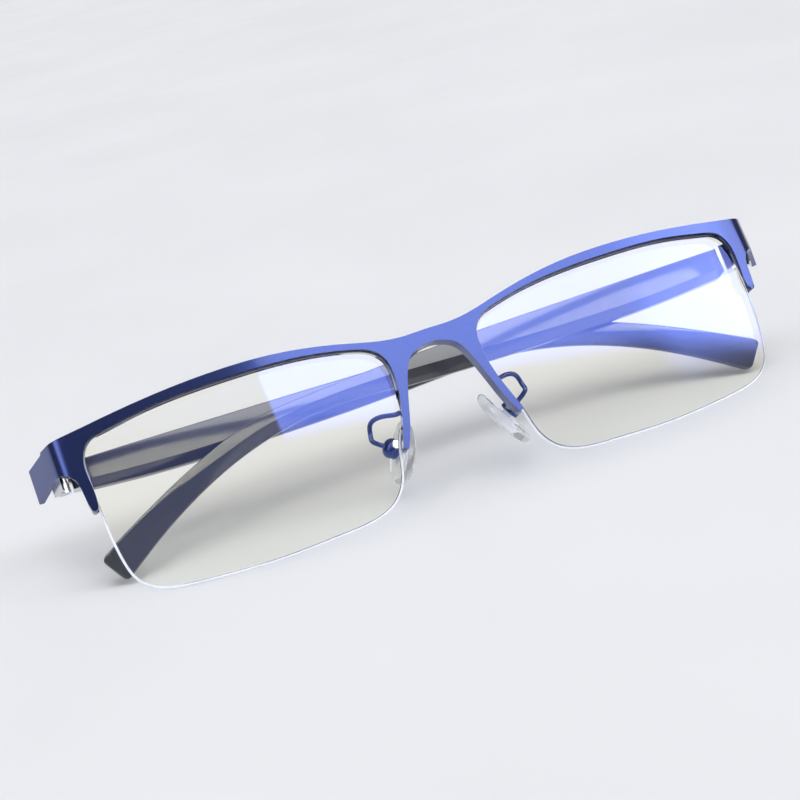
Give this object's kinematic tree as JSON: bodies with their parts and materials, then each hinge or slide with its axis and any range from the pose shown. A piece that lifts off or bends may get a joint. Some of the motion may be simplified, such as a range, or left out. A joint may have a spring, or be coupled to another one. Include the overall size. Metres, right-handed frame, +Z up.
{
  "type": "half rim eyeglasses",
  "caption": "Half-rim eyeglasses with a blue metal brow front, cord-held clear lenses, adjustable nose pads and spring-hinged dark plastic temples, folded.",
  "frame": {"origin": "centre of the footprint, on the ground under the folded glasses", "axes": "+X to the wearer's left along the front, +Y to the back, +Z up; the front leans back 32 degrees as the glasses stand"},
  "size_m": [0.15, 0.0378, 0.0352],
  "materials": {
    "blue_metal": "glossy metallic blue paint",
    "clear_lens": "clear, anti-reflection coated",
    "clear_nylon": "clear nylon",
    "silicone": "clear silicone",
    "grey_plastic": "glossy dark grey",
    "steel": "satin steel"
  },
  "bodies": {
    "front": {"front_frame": "blue_metal", "hinge_screws": "steel", "left_hinge_leaf": "steel", "left_lens": "clear_lens", "left_nylon_cord": "clear_nylon", "left_pad_arm": "blue_metal", "left_pad_box": "blue_metal", "left_rim_liner": "clear_nylon", "pad_screws": "steel", "right_hinge_leaf": "steel", "right_lens": "clear_lens", "right_nylon_cord": "clear_nylon", "right_pad_arm": "blue_metal", "right_pad_box": "blue_metal", "right_rim_liner": "clear_nylon"},
    "left_hinge_slider": {"left_slider": "steel"},
    "left_temple_arm": {"left_temple": "grey_plastic", "left_spring_case": "steel", "left_hinge_spring": "steel", "left_core_wire": "steel"},
    "left_pad": {"left_nose_pad": "silicone", "left_pad_core": "steel"},
    "right_hinge_slider": {"right_slider": "steel"},
    "right_temple_arm": {"right_temple": "grey_plastic", "right_spring_case": "steel", "right_hinge_spring": "steel", "right_core_wire": "steel"},
    "right_pad": {"right_nose_pad": "silicone", "right_pad_core": "steel"}
  },
  "joints": [
    {"name": "right_temple_fold", "type": "hinge", "parent": "front", "child": "right_hinge_slider", "pos_m": [-0.06993, 0.00772, 0.01842], "axis": [-0.0297, 0.5326, 0.8458], "range_deg": [0, 87.2]},
    {"name": "left_temple_fold", "type": "hinge", "parent": "front", "child": "left_hinge_slider", "pos_m": [0.07001, 0.00993, 0.02193], "axis": [0.0297, -0.5326, -0.8458], "range_deg": [0, 90.1]},
    {"name": "right_spring_flex", "type": "slide", "parent": "right_hinge_slider", "child": "right_temple_arm", "axis": [0.9984, 0.0571, -0.001], "range_m": [0, 0.0012], "stiffness_N_per_m": 1500},
    {"name": "left_spring_flex", "type": "slide", "parent": "left_hinge_slider", "child": "left_temple_arm", "axis": [-0.9996, -0.0158, -0.0251], "range_m": [0, 0.0012], "stiffness_N_per_m": 1500},
    {"name": "right_pad_rock", "type": "hinge", "parent": "front", "child": "right_pad", "pos_m": [-0.01189, -0.00693, 0.01111], "axis": [0.4693, -0.7397, 0.4823], "range_deg": [-8, 8]},
    {"name": "left_pad_rock", "type": "hinge", "parent": "front", "child": "left_pad", "pos_m": [0.0129, -0.00654, 0.01174], "axis": [-0.4693, -0.7546, 0.4587], "range_deg": [-8, 8]}
  ]
}
